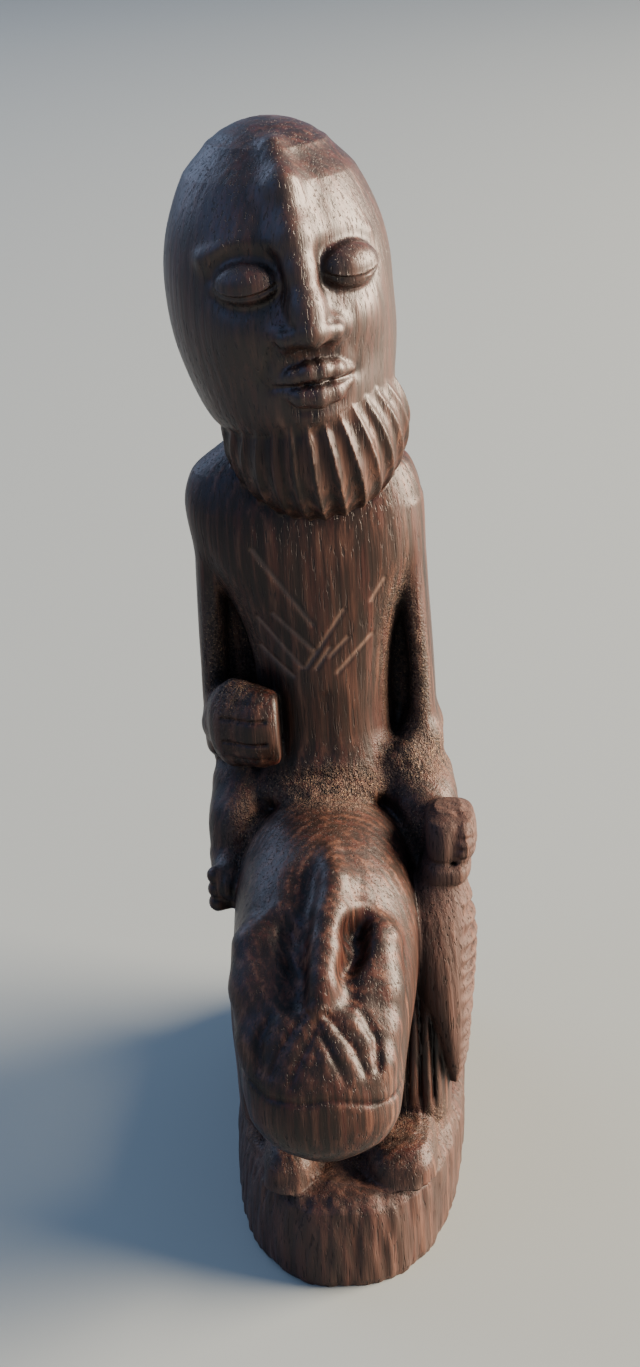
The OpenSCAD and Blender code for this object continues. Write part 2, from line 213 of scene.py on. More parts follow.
# ---- The carved forms -------------------------------------------------------------------------
def base_form():
    w, l, h = 11.2, 25.6, 9.5
    return loft([[0, 0, 0, 0, w - 0.3, l - 0.3, 2.5], [0, 0, 0.9, 0, w, l, 2.5],
                 [0.3, 0, h / 2, 0, w, l - 0.2, 2.5], [0.6, 0, h - 1.8, 0, w - 0.3, l - 0.6, 2.5],
                 [0.6, 0, h - 0.6, 0, w - 1, l - 1.6, 2.4], [0.6, 0, h, 0, w - 2.2, l - 3, 2.3]])


def body_form():
    r = 9
    return loft([[0, -17.2, 24, 90, 3.6, 4, 2.2], [0, -16, 24, 90, 6.4, 7, 2.3],
                 [0, -12.5, 25, 90, r - 0.6, 9.6, 2.4], [0, -7.5, 27, 90, r, 10.6, 2.4],
                 [0, -1, 27.6, 90, r - 0.5, 10.2, 2.3], [0, 7, 27.6, 90, r - 0.4, 9.6, 2.3],
                 [0, 13.5, 27.2, 90, r + 0.3, 10, 2.3], [0, 18.5, 25.8, 90, r - 1.8, 7.8, 2.2],
                 [0, 20.8, 25, 90, 3, 3.2, 2]])


def foreleg_form(side):
    x = side * (6.8 + 0.3 * side)
    out = 0.4 * side
    leg = loft([[x - 1.6 * side, -10.8, 30, 0, 1.6, 2.6, 2.2],
                [x - 0.8 * side, -11, 28.4, 0, 2.6, 3.7, 2.3], [x - 0.4 * side, -11, 26, 0, 3.2, 4.2, 2.4],
                [x, -11.4, 22, 0, 3.3, 4.9, 2.6], [x, -11.7, 16, 0, 3.2, 5.0, 2.8],
                [x, -11.7, 12, 0, 3.2, 5.0, 2.8], [x, -11.7, 11.2, 0, 3.1, 4.8, 2.7],
                [x + out, -11.2, 10.4, 0, 2.6, 4.0, 2.4], [x + out, -11.4, 8.6, 0, 2.7, 4.6, 2.4]])
    across, wide = (5.6, 3.1) if side > 0 else (-4.6, 2.3)
    hoof = loft([[across, -17.4, 8.8, 0, wide + 0.2, 5.9, 3.4], [across, -17.4, 11, 0, wide, 5.4, 3.4],
                 [across, -17.2, 12.1, 0, wide - 0.5, 4.6, 3], [across, -17, 12.6, 0, wide - 1.4, 3.4, 2.4]])
    return joined(0.5, leg, hoof)


def hind_leg_form(side):
    x = side * 6.8
    return loft([[side * 5.2, 12.8, 29.5, 0, 1.8, 3.2, 2.2], [side * 6.2, 12.9, 27.8, 0, 2.9, 4.6, 2.3],
                 [x, 13, 25, 0, 3.4, 5.2, 2.3], [x, 13.4, 21, 0, 3.3, 5, 2.3],
                 [x, 14.6, 16.5, 0, 2.9, 3.8, 2.3], [x, 15.4, 13.5, 0, 2.6, 3.1, 2.3],
                 [x, 14.6, 11.2, 0, 2.9, 3.8, 2.4], [x, 14.2, 8.6, 0, 3.1, 4.2, 2.4]])


def head_form():
    r = 8.5
    return loft([[0, -3.6, 31, 80, 6.8, 7.8, 2.1], [-0.1, -7, 31, 90, r - 0.2, 9.9, 2.1],
                 [-0.2, -11, 30.6, 96, r, 10.2, 2.1], [-0.3, -15.5, 29.4, 106, r - 0.2, 10, 2.15],
                 [-0.6, -19.5, 27, 117, r - 0.5, 9.4, 2.2], [-0.7, -23, 24.2, 128, 7.4, 8.2, 2.3],
                 [-0.7, -25.6, 21.6, 138, 6.9, 6.9, 2.4], [-0.6, -26.6, 19.7, 150, 6.4, 5.7, 2.4],
                 [-0.5, -26.6, 18, 165, 5.2, 4.6, 2.3], [-0.5, -26.4, 16.9, 178, 3.3, 2.9, 2],
                 [-0.5, -26.4, 16.6, 180, 1, 1, 2]])


def brow_form(side):
    if side < 0:
        return limb([[-5.9, -21.0, 33.6, 2.2], [-6.1, -23.4, 31.0, 2.0], [-5.9, -26.2, 27.4, 1.6],
                     [-5.5, -27.8, 24.8, 1.1]], 1.2)
    return limb([[4.5, -21.1, 33.6, 2.1], [4.8, -23.6, 30.6, 1.7], [4.7, -25.6, 28.1, 1.4],
                 [4.4, -27.6, 26.0, 1.15], [4.2, -28.9, 24.2, 0.7]], 1.2)


def crest_form():
    return limb([[0.6, -15.6, 39.1, 1.0], [0.8, -18.45, 37.95, 1.55], [0.5, -21.2, 36.3, 1.75],
                 [0.2, -23.5, 34.6, 1.75], [-0.1, -25.4, 32.75, 1.65], [-0.5, -26.8, 31.2, 1.35]], 1.5)


def rib_form():
    """Three slanting leaves on each side of the nose, in low relief."""
    leaves = [[[-0.6, -27.2, 31.0, 0.5], [0.26, -28.05, 29.6, 0.85], [1.4, -29.05, 27.7, 0.9],
               [2.45, -29.95, 25.7, 0.6]],
              [[0.9, -26.9, 31.1, 0.6], [2.1, -27.5, 29.8, 0.85], [3.1, -28.1, 28.1, 0.85],
               [3.6, -28.8, 26.5, 0.5]],
              [[-0.55, -28.8, 29.1, 0.45], [0.0, -29.55, 27.5, 0.65], [0.8, -30.4, 25.8, 0.45]]]
    parts = []
    for side, sunk in ((-1, 0.4), (1, 0.2)):
        parts += [limb([[beside_nose(side, x), y + sunk, z, r - 0.05] for x, y, z, r in leaf])
                  for leaf in leaves]
    return joined(0.25, *parts)


def tail_form():
    return limb([[0, 19, 33, 1.6], [0, 21.6, 30, 1.7], [0, 22.4, 25, 1.8], [0, 22.4, 20, 1.9],
                 [0, 22, 15, 1.9], [0, 21.2, 11.4, 1.6], [0, 20.8, 10, 1.2]], 1.2)


def strap_form():
    return loft([[10, -11.4, 36, 0, 1.6, 1.4, 2.1], [9.8, -11.7, 34, 0, 2.7, 2.4, 2.1],
                 [9.5, -11.9, 32, 0, 3.4, 3.5, 2.1], [9.5, -12.2, 29, 0, 3.6, 4.1, 2.1],
                 [9.8, -12.6, 25, 0, 3.0, 4.2, 2.1], [10.4, -12.8, 20.5, 0, 1.9, 3.9, 2.1],
                 [10.7, -12.8, 17, 0, 1.2, 3.2, 2.1], [10.7, -12.8, 14.6, 0, 0.6, 2, 2]])


def torso_form():
    return loft([[-0.2, 0.4, 37.2, 0, 6.2, 5.8, 2.2], [-0.2, -0.4, 40, 0, 7.4, 7.2, 2.2],
                 [-0.2, 0, 42.6, 0, 7, 6.6, 2.2], [0, 0.2, 46, 0, 6.2, 6, 2.3],
                 [0.1, 0, 51, 0, 6.2, 5.9, 2.3], [0.1, 0, 55, 0, 6.9, 5.9, 2.3],
                 [-0.1, 0, 59, 0, 8.3, 6, 2.3], [-0.5, 0.1, 63, 0, 10, 6, 2.4],
                 [-0.8, 0.3, 67, 0, 10.5, 5.7, 2.4], [-0.8, 0.5, 70, 0, 9.6, 5, 2.3],
                 [-0.6, 0.7, 72.2, 0, 7, 4.2, 2.1], [-0.2, 0.6, 74, 0, 4.6, 4, 2]])


def arm_form(side):
    x = -10 if side < 0 else 9
    bar = loft([[x - side * 1.1, 0.8, 66.5, 0, 1.6, 3.4, 2.3], [x - side * 0.6, 0.8, 62, 0, 1.5, 3.6, 2.5],
                [x - side * 0.3, 0.8, 57, 0, 1.35, 3.7, 2.6], [x, 0.7, 51, 0, 1.25, 3.5, 2.6],
                [x, 0.4, 46.4, 0, 1.3, 3.3, 2.5], [x, 0.2, 43.4, 0, 1.3, 3.1, 2.4],
                [x, 0.2, 42.2, 0, 0.7, 1.8, 2]])
    web = loft([[x - side * 2, 1.6, 63, 0, 1.9, 1.6, 3], [x - side * 2, 1.6, 52, 0, 2, 1.5, 3],
                [x - side * 2, 1.6, 42.4, 0, 1.8, 1.6, 3]])
    return joined(0.7, bar, web)


def right_hand_form():
    """A mitten laid across the belly, its fingers cut off square."""
    forearm = limb([[-9.6, 0.4, 45.6, 1.7], [-9.3, -2.6, 46.4, 2.0]])
    palm = limb([[-8.9, -3.0, 47.2, 1.9], [-7.9, -4.9, 47.3, 2.4], [-5.8, -5.9, 47.3, 2.2],
                 [-3.4, -6.2, 47.3, 2.0]], 0.8, 1.65)

    def field(p):
        d = smooth_min(forearm(p), palm(p), 0.8)
        return -smooth_min(-d, -3.9 - p[:, 0], 0.5)

    return Form(field, [-11.6, -8.6, 42.6], [-3, 2.4, 51.9])


def left_hand_form():
    return limb([[9, 0, 44.6, 1.6], [8.7, -1.8, 43.6, 1.8], [7.6, -3.2, 42.8, 1.6], [6.6, -4, 42.6, 1.1]])


def rider_leg_form(side):
    if side < 0:
        return limb([[-5.4, 0.2, 40, 3], [-7.6, -2.2, 39.9, 3], [-8.2, -4.6, 37.6, 2.7],
                     [-9.2, -6.2, 34.8, 2]], 1.5)
    thigh = limb([[5.4, 0.2, 40, 3.4], [7.6, -2, 39.8, 3.6], [8.7, -4.6, 38.4, 2.9],
                  [10, -7.6, 37.2, 2.1]], 1.5)
    shin = limb([[9.4, -6.4, 36.8, 2.4], [9.1, -8.2, 33.6, 2.1], [9.0, -8.8, 30.6, 1.7]])
    return joined(1.2, thigh, shin)


def foot_form(side):
    """The right foot's toes point outward, one above the other. The left foot is two blocks."""
    if side < 0:
        instep = pebble([-9.2, -7.6, 33.4], [1.9, 3.4, 2.3])
        toes = [limb([[-9.2, -9.2, z, 0.9], [-10.4, -9.6, z - 0.1, 0.85]]) for z in (34.4, 33.0, 31.6)]
        return joined(0.35, joined(0.3, *toes), instep)
    upper = loft([[11.0, -10.0, 40.9, 0, 1.2, 1.6, 2.4], [11.1, -10.2, 40.3, 0, 2.1, 2.8, 3.0],
                  [11.2, -10.4, 38.6, 0, 2.3, 3.1, 3.4], [11.1, -10.4, 37.2, 0, 2.2, 3.1, 3.4],
                  [11.0, -10.4, 36.5, 0, 1.9, 2.8, 3.0]])
    lower = loft([[10.7, -10.6, 36.6, 0, 1.8, 2.7, 3.0], [10.8, -10.7, 36.0, 0, 2.1, 3.1, 3.2],
                  [10.6, -10.8, 35.0, 0, 2.1, 3.0, 3.2], [10.5, -10.8, 34.3, 0, 1.7, 2.5, 2.8]])
    return joined(0.35, upper, lower)


def skull_form():
    r, t = 9.6, 100
    return loft([[-1.9, 0, t, 0, 0.6, 0.6, 2], [-1.9, 0, t - 0.1, 0, 1.25, 1.25, 2],
                 [-1.9, 0, t - 0.4, 0, 2.45, 2.45, 2], [-1.9, -0.1, t - 1, 0, 3.8, 3.85, 2],
                 [-1.9, -0.2, t - 1.8, 0, 5, 5.1, 2], [-1.8, -0.4, t - 4.2, 0, 7.2, 7.3, 2],
                 [-1.7, -0.6, t - 7.6, 0, r - 0.9, 8.8, 2.05], [-1.6, -0.7, t - 11, 0, r - 0.1, 9.4, 2.05],
                 [-1.5, -0.8, t - 14.5, 0, r, 9.5, 2.1], [-1.2, -0.9, t - 18, 0, r - 0.2, 9.3, 2.1],
                 [-0.8, -1, t - 21.5, 0, r - 0.9, 8.7, 2.1], [-0.4, -1, t - 24.5, 0, r - 1.9, 7.9, 2.1],
                 [0, -0.4, t - 27, 0, 5.6, 5.8, 2], [0, 0.2, t - 29.5, 0, 4.4, 4.2, 2]])


def nose_form():
    ridge = FACE.limb([[0, -4.2, 10, 1.0], [0, -6.9, 7.4, 1.3], [0, -8.5, 3.8, 1.3], [0, -9.3, 1.2, 1.15],
                       [0, -10.2, -1.8, 1.3], [0, -10.7, -3.5, 1.55]], 1.2)
    wings = [FACE.pebble([side * 1.6, -9.5, -3.9], [1.35, 1.6, 1.15], rotation(z=side * 20))
             for side in (-1, 1)]
    return joined(0.9, ridge, *wings)


def eye_form(side):
    """An eyeball under a full closed lid."""
    return FACE.pebble([side * EYE_X, EYE_Y, EYE_Z], [2.7, 1.9, 1.9], rotation(z=side * EYE_TURN))


def lips_form():
    upper = FACE.limb([[-3.3, -8.3, -7.9, 0.4], [-1.7, -9.3, -7.3, 0.8], [-0.5, -9.7, -7.1, 0.85],
                       [0, -9.6, -7.3, 0.8], [0.5, -9.7, -7.1, 0.85], [1.7, -9.3, -7.3, 0.8],
                       [3.3, -8.3, -7.9, 0.4]], 0.3)
    lower = FACE.limb([[-2.8, -8.4, -8.6, 0.5], [-1.3, -9.2, -9.1, 0.9], [0, -9.5, -9.2, 1],
                       [1.3, -9.2, -9.1, 0.9], [2.8, -8.4, -8.6, 0.5]], 0.6)
    return joined(0.12, upper, lower)


def beard_form():
    inner = loft([[0, -1, -5, 0, 3.8, 4.2, 2], [0, -0.8, -4.4, 0, 5.8, 6.4, 2],
                  [0, -0.4, -2.4, 0, 7.4, 7.9, 2], [0, 0, 0, 0, 8.2, 8.4, 2], [0, 0.2, 2.2, 0, 8.1, 8.1, 2],
                  [0, 0.4, 3.8, 0, 7.6, 7.6, 2], [0, 0.4, 5.2, 0, 6.8, 6.8, 2], [0, 0.4, 6, 0, 6, 6, 2]])

    def field(p):
        q = BEARD.into(p)
        d = inner(q)
        return -smooth_min(-d, -(q[:, 1] - 1.6), 0.8)

    return Form(field, BEARD.origin - [9.5, 9.8, 7], BEARD.origin + [9.5, 4, 9.5])


# Node: its form, and how softly it blends into what is already there, in mm.
FORMS = {
    "beast_body": (body_form(), 0.5),
    "beast_head": (head_form(), 0.9),
    "right_foreleg": (foreleg_form(-1), 0.9),
    "left_foreleg": (foreleg_form(1), 0.9),
    "right_hind_leg": (hind_leg_form(-1), 1.5),
    "left_hind_leg": (hind_leg_form(1), 1.5),
    "base": (base_form(), 1.0),
    "tail": (tail_form(), 0.8),
    "beast_right_brow": (brow_form(-1), 1.2),
    "beast_left_brow": (brow_form(1), 1.2),
    "crest": (crest_form(), 0.8),
    "muzzle_ribs": (rib_form(), 0.35),
    "scalloped_strap": (strap_form(), 0.5),
    "rider_torso": (torso_form(), 0.9),
    "rider_right_arm": (arm_form(-1), 1.0),
    "rider_left_arm": (arm_form(1), 1.0),
    "rider_right_hand": (right_hand_form(), 0.5),
    "rider_left_hand": (left_hand_form(), 1.4),
    "rider_right_leg": (rider_leg_form(-1), 1.2),
    "rider_left_leg": (rider_leg_form(1), 1.2),
    "rider_right_foot": (foot_form(-1), 0.6),
    "rider_left_foot": (foot_form(1), 0.6),
    "rider_head": (skull_form(), 0.4),
    "beard": (beard_form(), 0.5),
    "rider_nose": (nose_form(), 1.5),
    "rider_right_eye": (eye_form(-1), 0.7),
    "rider_left_eye": (eye_form(1), 0.7),
    "rider_lips": (lips_form(), 0.35),
}
NAMES = list(FORMS)


# ---- Grooves and hollows ------------------------------------------------------------------------
def groove(points, width, depth, through=False):
    """A round-bottomed cut along points, or with a negative depth a raised ridge. A cut marked through is
    seen from the front: its distance leaves out Y."""
    q = np.array(points, float)
    reach = np.full(3, 2.6 * width)
    keep = np.array([1.0, 0.0 if through else 1.0, 1.0])
    if through:
        reach[1] = 2.2

    def field(p):
        out = None
        for a, b in zip(q[:-1], q[1:]):
            along = (b - a) * keep
            offset = (p - a) * keep
            h = np.clip(offset @ along / (along @ along), 0, 1)
            d = length(offset - h[:, None] * along)
            out = d if out is None else np.minimum(out, d)
        return depth * np.exp(-((out / width) ** 2))

    return field, q.min(0) - reach, q.max(0) + reach


def dent(centre, radii, depth, turn=None):
    c, r = np.array(centre, float), np.array(radii, float)

    def field(p):
        q = p - c if turn is None else (p - c) @ turn
        return depth * np.exp(-np.sum((q / r) ** 2, axis=1))

    reach = 2.2 * r.max()
    return field, c - reach, c + reach


def face_line(points, width, depth):
    return groove([FACE.out(q) for q in points], width, depth)


def face_dent(centre, radii, depth):
    return dent(FACE.out(centre), radii, depth, FACE.turn)


def beard_flutes():
    """Locks of the beard: shallow flutes between narrow ridges that fan out round the chin."""
    locks = 14
    draws = np.random.RandomState(3)
    heights, leans = draws.uniform(-0.12, 0.12, 2 * locks + 3), draws.uniform(-0.16, 0.16, 2 * locks + 3)

    def field(p):
        q = BEARD.into(p)
        angle = np.degrees(np.arctan2(q[:, 0], -q[:, 1])) / 180 * locks
        nearest = np.clip(np.round(angle).astype(int) + locks, 0, 2 * locks)
        gap = np.abs(angle - nearest + locks + leans[nearest] * np.clip(0.5 - 0.12 * q[:, 2], -0.5, 1))
        lock = np.clip(np.floor(angle).astype(int) + locks, 0, 2 * locks)
        gap = np.sqrt(gap**2 + 0.004)
        on = np.clip((length(q[:, :2]) - 3.4) / 1.6, 0, 1) * np.clip((2.4 - q[:, 1]) / 1.4, 0, 1)
        return on * ((0.52 + heights[lock]) * (1 - np.clip(1 - 2 * gap, 0, 1) ** 2) - 0.12)

    return field, BEARD.origin - [9.6, 9.8, 7.4], BEARD.origin + [9.6, 4.5, 9.4]


def strap_notches():
    """Uneven notches up the outer edge of the strap."""
    pitch = 1.5

    def field(p):
        at = (p[:, 2] + 0.3 * np.sin(0.7 * p[:, 2]) - 13.9) / pitch
        gap = np.abs(at - np.round(at)) * pitch
        edge = np.clip((p[:, 0] - 11.0 - 0.04 * (p[:, 2] - 13)) / 1.0, 0, 1)
        return 0.75 * edge * np.exp(-((gap / 0.4) ** 2)) - 0.15 * edge

    return field, [9, -16.8, 13], [14, -8.4, 33]


def leg_flutes(side):
    """Uneven upright flutes down the front of a foreleg."""
    pitch, bottom, top = 1.15, 12.4, 28

    def field(p):
        across = side * p[:, 0] + 0.35 * NOISE_A(p * [0.2, 0.2, 1], [1, 1, 7])
        main = (1 - np.abs(np.sin(math.pi * across / pitch + 0.9 * side))) ** 1.6
        fibre = NOISE_B(np.stack([across, 0 * across, p[:, 2]], 1), [0.45, 1, 9])
        fade = np.clip((p[:, 2] - bottom) / 2.2, 0, 1) * np.clip((top - p[:, 2]) / 3, 0, 1)
        fade = fade * np.clip((-14.8 - p[:, 1]) / 1.2, 0, 1) * np.clip((10 - side * p[:, 0]) / 0.8, 0, 1)
        return fade * (0.5 * main + 0.12 * fibre - 0.1)

    lo, hi = sorted((side * 3.2, side * 11.4))
    return field, [lo, -17.4, bottom], [hi, -13.6, top]


def build_own_cuts():
    """Cuts made in one form before it's blended into its neighbours."""
    own = {"beard": [beard_flutes()], "scalloped_strap": [strap_notches()], "right_foreleg": [leg_flutes(-1)],
           "left_foreleg": [leg_flutes(1)], "rider_head": [], "rider_nose": [], "rider_lips": []}
    head = own["rider_head"]
    for side in (-1, 1):
        head.append(face_dent([side * 4.3, -8.9, 0.7], [3.3, 2.6, 2.1], 0.95))
        head.append(face_dent([side * 1.9, -9.8, 1.8], [1.1, 1.8, 1.6], 0.35))
        head.append(face_line([[side * 1.4, -9.8, 3.1], [side * 3.4, -9.4, 4.1], [side * 5.6, -8.2, 4.0],
                               [side * 7.4, -6.2, 2.7]], 0.85, -0.42))
        head.append(face_dent([side * 5.0, -8.0, -3.4], [2.8, 2.6, 2.4], -0.45))
        head.append(face_dent([side * 5.2, -7.8, -7.6], [2.0, 2.4, 2.2], 0.25))
        turn = math.radians(EYE_TURN) * side
        across = np.array([math.cos(turn), math.sin(turn), 0])
        ahead = np.array([math.sin(turn), -math.cos(turn), 0])
        centre = np.array([side * EYE_X, EYE_Y, EYE_Z])

        def arc(wide, drop, bow, out):
            return [centre + across * wide * u + ahead * (out - 1.0 * u * u) + [0, 0, drop + bow * u * u]
                    for u in np.linspace(-1, 1, 9)]

        # Where the lids meet, the fold above the upper lid, and the edge of the lower one.
        own["rider_right_eye" if side < 0 else "rider_left_eye"] = [
            face_line(arc(2.6, -0.85, 0.6, 1.75), 0.17, 0.32),
            face_line(arc(2.7, -0.62, 0.6, 1.85), 0.2, -0.1)]
        head.append(face_line(arc(2.9, 2.1, -1.5, 1.4), 0.45, 0.2))
        head.append(face_line(arc(2.7, -2.15, 1.3, 1.2), 0.45, 0.12))
        own["rider_nose"].append(face_dent([side * 1.15, -11.0, -5.15], [0.65, 0.9, 0.45], 0.6))
        own["rider_nose"].append(face_line([[side * 1.5, -11.2, -2.9], [side * 2.6, -10.4, -3.0],
                                            [side * 3.0, -9.6, -4.0]], 0.3, 0.1))
    head.append(face_dent([0, -9.8, -8.3], [3.6, 2.6, 2.4], -0.3))
    head.append(face_dent([0, -9.2, -11.3], [2.3, 2.4, 1.3], -0.5))
    head.append(face_line([[-2.0, -9.2, -10.35], [0, -9.7, -10.6], [2.0, -9.2, -10.35]], 0.5, 0.32))
    head.append(face_line([[0, -10.1, -5.3], [0, -10.1, -6.3]], 0.34, 0.22))
    return own


# Knife strokes in a herringbone on the chest: ends in X and Z.
STROKES = [[(-5.2, 64.1), (-0.3, 57.1)], [(-3.8, 58.1), (-0.2, 54.5)], [(-5.2, 57.5), (-1.5, 53.0)],
           [(-5.1, 54.6), (-2.3, 52.1)], [(2.5, 58.3), (-1.1, 53.0)], [(4.8, 55.5), (1.7, 52.4)],
           [(1.1, 54.8), (-0.2, 52.9)], [(6.2, 60.7), (5.0, 58.9)], [(2.7, 55.6), (1.1, 54.0)]]


def build_cuts():
    """Cuts made in the joined carving."""
    cuts = []
    for side in (-1, 1):
        cuts.append(face_line([[side * 3.0, -9.8, -4.6], [side * 3.6, -9.2, -5.8],
                               [side * 4.2, -8.5, -7.4]], 0.42, 0.22))
        cuts.append(face_dent([side * 3.6, -8.7, -8.1], [0.7, 1.2, 0.7], 0.3))
    cuts.append(face_line([[-3.5, -8.5, -8.25], [-1.7, -10.0, -8.1], [-0.4, -10.4, -8.0], [0, -10.4, -8.12],
                           [0.4, -10.4, -8.0], [1.7, -10.0, -8.1], [3.5, -8.5, -8.25]], 0.2, 0.5))
    # Fingers of the right hand.
    for z, depth in ((44.9, 0.06), (46.5, 0.2), (48.7, 0.2), (50.2, 0.06)):
        cuts.append(groove([[-8.9, -6.4, z + 0.1], [-7.2, -7.4, z], [-5.1, -8.1, z]], 0.19, depth, True))
    # The left foot: a slanting fold down its front, and its toes as notches in the outer edge.
    cuts.append(groove([[11.9, -13.2, 41.0], [11.5, -13.6, 38.8], [11.3, -13.4, 36.8]], 0.5, 0.26, True))
    for k in range(4):
        z = 39.9 - 0.95 * k
        cuts.append(groove([[11.9 - 0.12 * k, -13.4, z + 0.1], [13.3, -12.6, z], [13.5, -10.2, z - 0.2]],
                           0.22, 0.2))
    # Knife strokes on the chest, and a faint upright one on the belly.
    for (x0, z0), (x1, z1) in STROKES:
        cuts.append(groove([[x0, -5.6, z0], [x1, -5.6, z1]], 0.24, 0.11, True))
    cuts.append(groove([[0.4, -6.2, 50], [0.5, -6.2, 44.5]], 0.5, 0.08, True))
    # A crease where the belly meets the lap, and one round the top of each thigh.
    cuts.append(groove([[-7.4, -5.4, 43.0], [-3, -6.7, 42.5], [2, -6.8, 42.4], [7, -5.6, 42.8]], 0.6, 0.4))
    # The beast's face: a hollow on each side of the crest, a mouth and the seams between the leaves.
    for side, middle in ((1, 0.0), (-1, -0.1)):
        def at(x, y, z):
            return [middle + side * (x - middle), y, z]
        tilt = rotation(x=-40) @ rotation(y=side * 30)
        deep = 1 if side > 0 else 0.6
        cuts.append(dent(at(2.6, -22.0, 35.2), [0.95, 2.6, 1.5], 1.9 * deep, tilt))
        cuts.append(dent(at(2.4, -23.9, 33.5), [0.9, 2.6, 1.9], 1.7 * deep, tilt))
        cuts.append(groove([at(2.5, -25.6, 32.8), at(2.4, -26.5, 31.7)], 0.85, 0.9))
        cuts.append(groove([at(2.3, -20.5, 36.9), at(3.6, -19.9, 36.7), at(4.8, -20.3, 36.0),
                            at(5.9, -21.5, 34.6)], 0.5, -0.22))
    cuts.append(groove([[-1.4, -18.6, 38.9], [-2.0, -21.6, 37.1], [-2.5, -24.4, 34.7], [-2.8, -26.7, 32.2]],
                       1.5, 0.75))
    cuts.append(dent([-7.0, -23.5, 31.3], [0.8, 1.0, 1.1], 0.6))
    for side in (-1, 1):
        def at(x, y, z):
            return [beside_nose(side, x), y, z]
        cuts.append(groove([at(0.1, -27.8, 31.0), at(1.3, -28.4, 29.8), at(2.5, -29.1, 28.1),
                            at(3.3, -29.7, 26.3)], 0.32, 0.16))
        cuts.append(groove([at(-0.6, -28.5, 30.3), at(0.2, -29.3, 28.7), at(1.2, -30.2, 27.0),
                            at(1.7, -30.7, 25.8)], 0.32, 0.12))
        cuts.append(groove([at(3.2, -27.2, 30.6), at(4.3, -28.0, 28.6), at(4.4, -29.2, 26.4)], 0.4, 0.3))
    cuts.append(groove([[-7.4, -26.2, 25.2], [-6.1, -29.2, 25.0], [-5.2, -30.2, 24.5], [-2.2, -31.2, 24.3],
                        [0.3, -31.2, 24.7], [3.6, -30.5, 23.7], [5.6, -28.4, 23.0], [6.4, -25.6, 22.8]],
                       0.34, 0.2))
    # The tail's strands and the spine.
    for side in (-1, 1):
        cuts.append(groove([[side * 0.8, 21.4, 32], [side * 0.9, 24, 25], [side * 0.8, 23.8, 15],
                            [side * 0.3, 22.6, 10.6]], 0.25, 0.35))
    cuts.append(groove([[-0.3, 6.4, 68], [0, 6.2, 55], [0, 6.2, 44]], 0.9, 0.5))
    cuts.append(groove([[-0.2, 6.8, 43], [-0.2, 6.2, 38.5]], 0.5, 0.6))
    return cuts


OWN_CUTS = build_own_cuts()
CUTS = build_cuts()


# ---- Surface noise ------------------------------------------------------------------------------
class Noise:
    """Smooth repeatable noise between -1 and 1 on a lattice."""

    def __init__(self, seed):
        self.lattice = np.random.RandomState(seed).uniform(-1, 1, (32, 32, 32))

    def __call__(self, p, cell):
        q = p / np.array(cell, float)
        i = np.floor(q).astype(int)
        f = q - i
        f = f * f * (3 - 2 * f)
        i, j = i & 31, (i + 1) & 31
        out = 0
        for x, fx in ((i[:, 0], 1 - f[:, 0]), (j[:, 0], f[:, 0])):
            for y, fy in ((i[:, 1], 1 - f[:, 1]), (j[:, 1], f[:, 1])):
                for z, fz in ((i[:, 2], 1 - f[:, 2]), (j[:, 2], f[:, 2])):
                    out = out + self.lattice[x, y, z] * fx * fy * fz
        return out


NOISE_A, NOISE_B = Noise(11), Noise(12)

# Places that the maker left rough: centre, radii and strength.
ROUGH = [([-8, -3, 51], [2.6, 4.2, 9], 1), ([7.6, -3, 51], [2.0, 4.2, 9], 1),
         ([0, -7.2, 41.6], [9.5, 3.0, 1.9], 1), ([8.2, -2.2, 42.4], [4.4, 5.0, 3.0], 1),
         ([-8.2, -1, 41.8], [2.6, 4, 2.2], 0.6), ([-7.4, -7.4, 37], [2.0, 3.0, 5], 0.8),
         ([8.6, -7.4, 37], [2.2, 3.0, 3.4], 0.8), ([0, -15.5, 11], [11, 6.5, 3.0], 0.8),
         ([0, 0, 12], [9, 14, 4], 0.8)]


def roughness_at(p):
    out = np.zeros(len(p))
    for centre, radii, strength in ROUGH:
        out = np.maximum(out, strength * np.exp(-np.sum(((p - centre) / radii) ** 2, axis=1) ** 2))
    return out


def relief(p):
    """Tool facets, raised fibres and stipple, in mm outward. The head is smoother, and the base is worn to
    its fibres, with a ragged upper edge."""
    polished = np.clip((p[:, 2] - 74) / 4, 0, 1)
    out = (0.075 - 0.035 * polished) * NOISE_A(p, [3.6, 3.6, 5.2])
    out = out + (0.03 - 0.012 * polished) * NOISE_B(p, [1.5, 1.5, 2.6]) + 0.016 * NOISE_A(p, [0.62, 0.62, 7])
    rough = roughness_at(p)
    out = out + rough * (0.07 * NOISE_B(p, 0.62) + 0.05 * NOISE_A(p, 1.1))
    low = np.clip((10.5 - p[:, 2]) / 1.5, 0, 1)
    edge = np.exp(-(((p[:, 2] - 8.6) / 1.4) ** 2)) * low
    fibres = 0.13 * NOISE_B(p, [0.62, 0.62, 3.4]) + 0.09 * NOISE_A(p, [1.3, 1.3, 5.0])
    return out + low * fibres + edge * (0.2 * NOISE_A(p, [2.2, 2.2, 1.6]) + 0.1 * NOISE_B(p, 1.0))


# ---- The whole carving ----------------------------------------------------------------------------
def raw_fields(p):
    """The distance to each form, before any blend or cut."""
    return np.stack([FORMS[n][0](p) for n in NAMES])


def add_cuts(out, p, cuts):
    for cut, lo, hi in cuts:
        near = np.all((p > lo) & (p < hi), axis=1)
        if near.any():
            out[near] += cut(p[near])
    return out


def carving(p, fields, fine):
    """The distance to the whole carving with its cuts, and if fine with its surface relief too."""
    out = None
    for row, name in zip(fields, NAMES):
        if name in OWN_CUTS:
            row = add_cuts(row.copy(), p, OWN_CUTS[name])
        out = row if out is None else smooth_min(out, row, FORMS[name][1])
    out = add_cuts(out, p, CUTS)
    return out - relief(p) if fine else out


